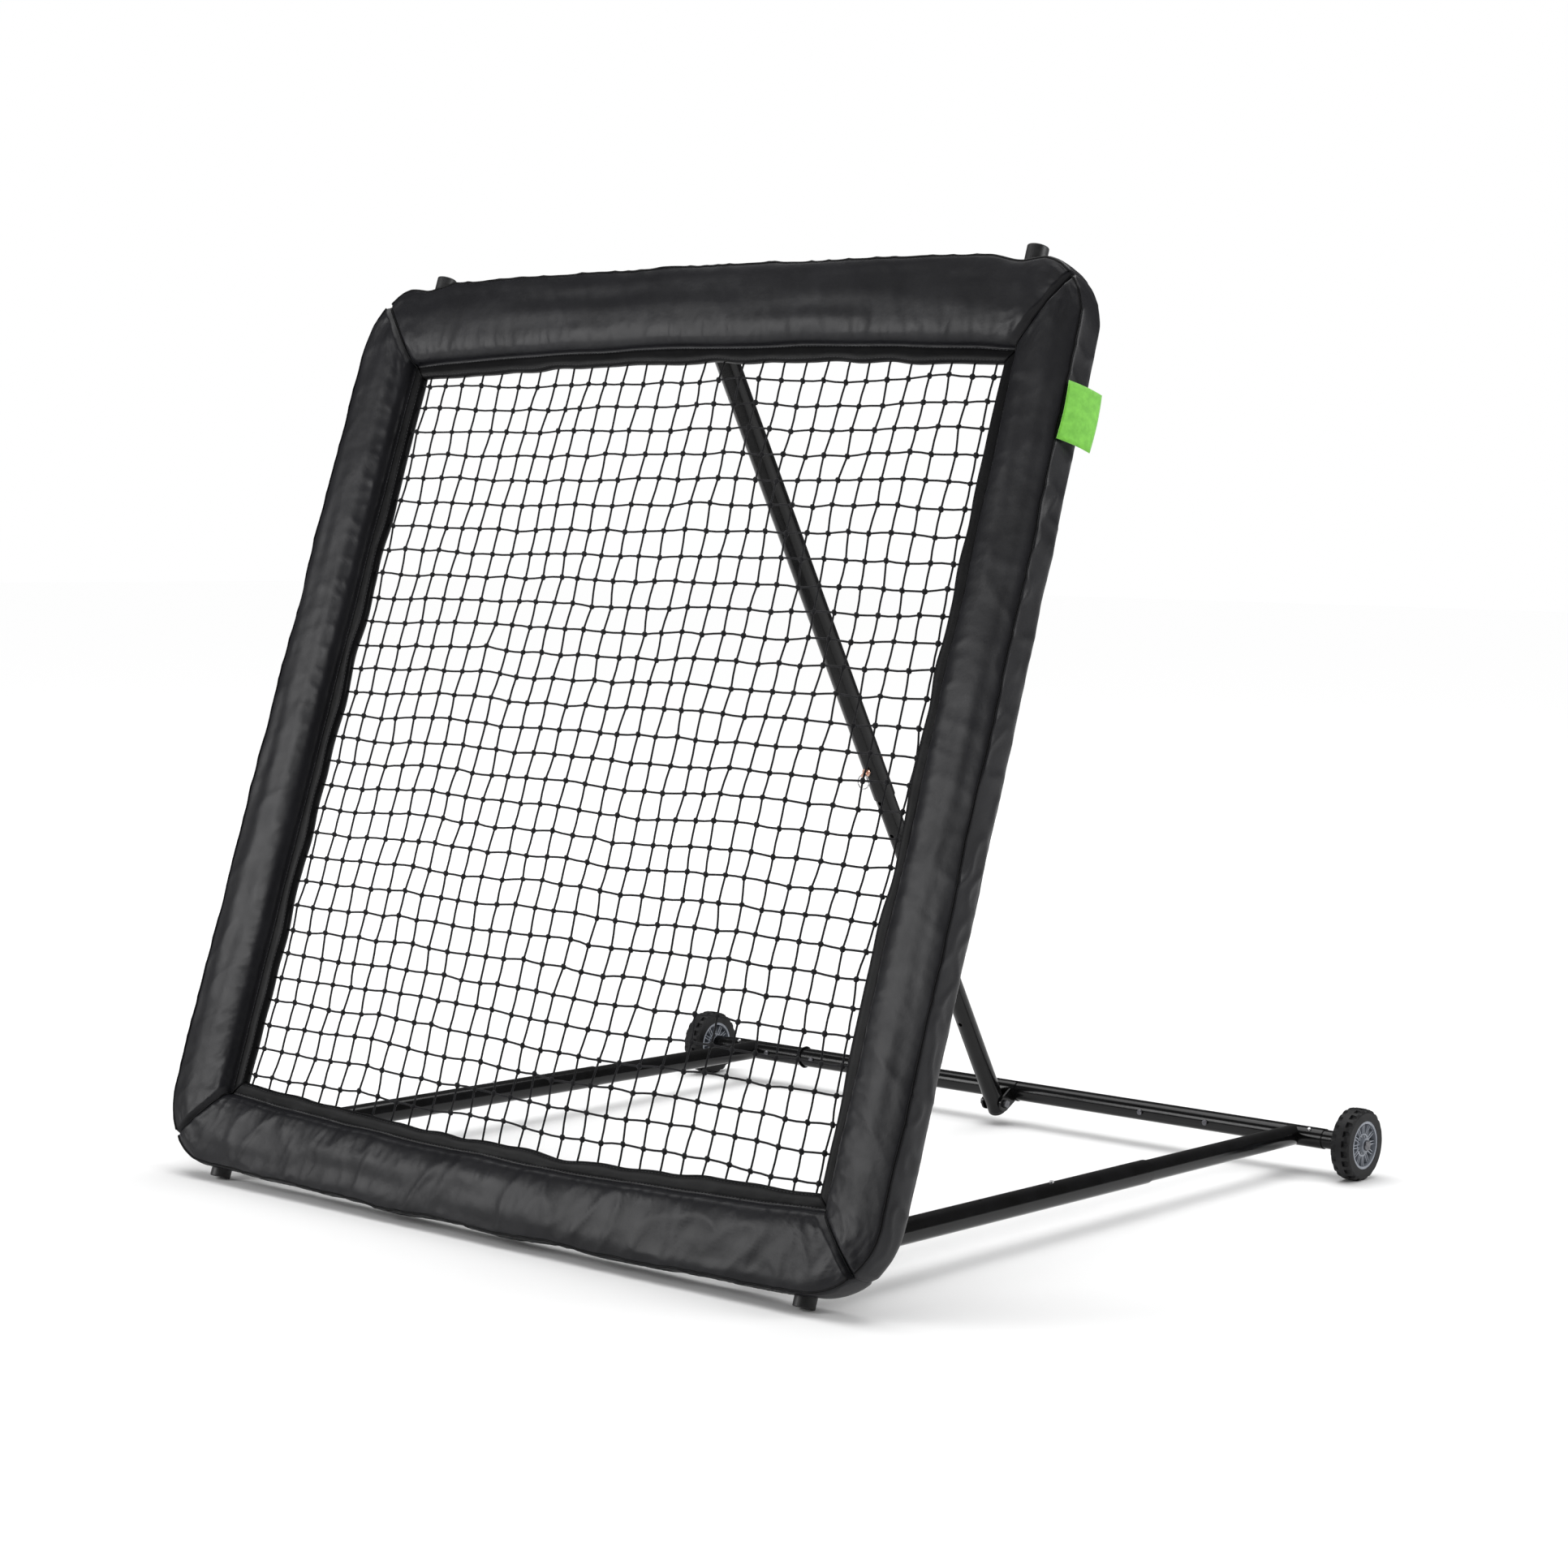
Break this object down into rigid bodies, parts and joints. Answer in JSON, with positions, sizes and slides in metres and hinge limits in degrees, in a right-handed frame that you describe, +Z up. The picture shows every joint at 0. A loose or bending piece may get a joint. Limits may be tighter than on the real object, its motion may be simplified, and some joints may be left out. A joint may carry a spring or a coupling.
{
  "type": "pitch back rebounder",
  "caption": "Square padded net frame that leans back on a wheeled base, held by a telescopic prop with a lock pin; balls thrown at the net bounce back.",
  "frame": {"origin": "on the ground under the middle of the whole object", "axes": "+X to the right seen by the player, +Y from the net towards the wheels, +Z up"},
  "size_m": [1.6427, 1.5246, 1.6306],
  "materials": {
    "pad_cover": "coated cloth, satin",
    "net_twine": "twisted twine, matt",
    "elastic": "matt",
    "tag_cloth": "woven, matt",
    "cap_plastic": "matt",
    "tyre": "matt",
    "rim_plastic": "satin",
    "pin_metal": "satin",
    "bright_steel": "zinc plated",
    "fastener_steel": "zinc plated",
    "black_coat": "gloss powder coat"
  },
  "bodies": {
    "base": {"prop_bracket": "black_coat", "front_leg_left": "black_coat", "front_leg_right": "black_coat", "rear_corner_left": "black_coat", "rear_corner_right": "black_coat", "cross_tube": "black_coat", "cross_joiner_left": "bright_steel", "cross_joiner_right": "bright_steel", "cross_bolts": "fastener_steel", "cross_nuts": "fastener_steel", "leg_pivot_bolts": "fastener_steel", "leg_pivot_nuts": "fastener_steel", "prop_foot_bolt": "fastener_steel", "prop_foot_nut": "fastener_steel", "leg_button_spring_left": "bright_steel", "leg_button_spring_right": "bright_steel", "wheel_plug_left": "black_coat", "wheel_plug_right": "black_coat", "axle_left": "fastener_steel", "axle_right": "fastener_steel"},
    "net_frame": {"frame_top_tube": "black_coat", "frame_bottom_tube": "black_coat", "frame_left_tube": "black_coat", "frame_right_tube": "black_coat", "top_left_elbow": "black_coat", "top_right_elbow": "black_coat", "bottom_left_elbow": "black_coat", "bottom_right_elbow": "black_coat", "frame_screws": "fastener_steel", "top_caps": "cap_plastic", "foot_caps": "cap_plastic", "net": "net_twine", "net_border_cord": "net_twine", "elastic_loops": "elastic", "pad_top": "pad_cover", "pad_bottom": "pad_cover", "pad_left": "pad_cover", "pad_right": "pad_cover", "side_tag": "tag_cloth", "leg_clevis_left": "black_coat", "leg_clevis_right": "black_coat", "prop_clevis": "black_coat"},
    "prop_lower": {"prop_lower_tube": "black_coat", "prop_foot_cap": "cap_plastic"},
    "prop_upper": {"prop_upper_tube": "black_coat", "prop_top_bolt": "fastener_steel", "prop_top_nut": "fastener_steel", "prop_top_washers": "fastener_steel"},
    "lock_pin": {"lock_pin": "pin_metal"},
    "pin_ring": {"pin_ring": "bright_steel"},
    "wheel_left": {"rim_left": "rim_plastic", "tyre_left": "tyre"},
    "leg_button_left": {"leg_button_left": "bright_steel"},
    "wheel_button_left": {"wheel_button_left": "bright_steel"},
    "wheel_right": {"rim_right": "rim_plastic", "tyre_right": "tyre"},
    "leg_button_right": {"leg_button_right": "bright_steel"},
    "wheel_button_right": {"wheel_button_right": "bright_steel"}
  },
  "joints": [
    {"name": "frame_tilt", "type": "hinge", "parent": "base", "child": "net_frame", "pos_m": [0, -0.65672, 0.07606], "axis": [1, 0, 0], "range_deg": [-25, 0]},
    {"name": "prop_swing", "type": "hinge", "parent": "base", "child": "prop_lower", "pos_m": [0, 0.66205, 0.04373], "axis": [1, 0, 0], "range_deg": [-15.6, 0.1]},
    {"name": "prop_slide", "type": "slide", "parent": "prop_lower", "child": "prop_upper", "axis": [0, -0.5061, 0.8625], "range_m": [-0.53, 0.001]},
    {"name": "lock_pin_pull", "type": "slide", "parent": "prop_upper", "child": "lock_pin", "axis": [0, -0.8625, -0.5061], "range_m": [0, 0.07]},
    {"name": "pin_ring_swing", "type": "hinge", "parent": "lock_pin", "child": "pin_ring", "pos_m": [0, 0.22924, 0.71617], "axis": [1, 0, 0], "range_deg": [-60, 40]},
    {"name": "wheel_spin_left", "type": "hinge", "parent": "base", "child": "wheel_left", "pos_m": [-0.791, 0.7, 0.066], "axis": [1, 0, 0], "continuous": true},
    {"name": "leg_button_press_left", "type": "slide", "parent": "base", "child": "leg_button_left", "axis": [0, -0.0074, -1], "range_m": [0, 0.0055], "stiffness_N_per_m": 1800, "deforming": ["leg_button_spring_left"]},
    {"name": "wheel_button_press_left", "type": "slide", "parent": "base", "child": "wheel_button_left", "axis": [0, 0.5736, -0.8192], "range_m": [0, 0.0055], "stiffness_N_per_m": 1800},
    {"name": "wheel_spin_right", "type": "hinge", "parent": "base", "child": "wheel_right", "pos_m": [0.791, 0.7, 0.066], "axis": [1, 0, 0], "continuous": true},
    {"name": "leg_button_press_right", "type": "slide", "parent": "base", "child": "leg_button_right", "axis": [0, -0.0074, -1], "range_m": [0, 0.0055], "stiffness_N_per_m": 1800, "deforming": ["leg_button_spring_right"]},
    {"name": "wheel_button_press_right", "type": "slide", "parent": "base", "child": "wheel_button_right", "axis": [0, 0.5736, -0.8192], "range_m": [0, 0.0055], "stiffness_N_per_m": 1800}
  ],
  "couplings": [
    {"joint": "prop_swing", "follows": "frame_tilt", "ratio": 0.61337},
    {"joint": "prop_slide", "follows": "frame_tilt", "m_per_rad": 1.1882}
  ]
}
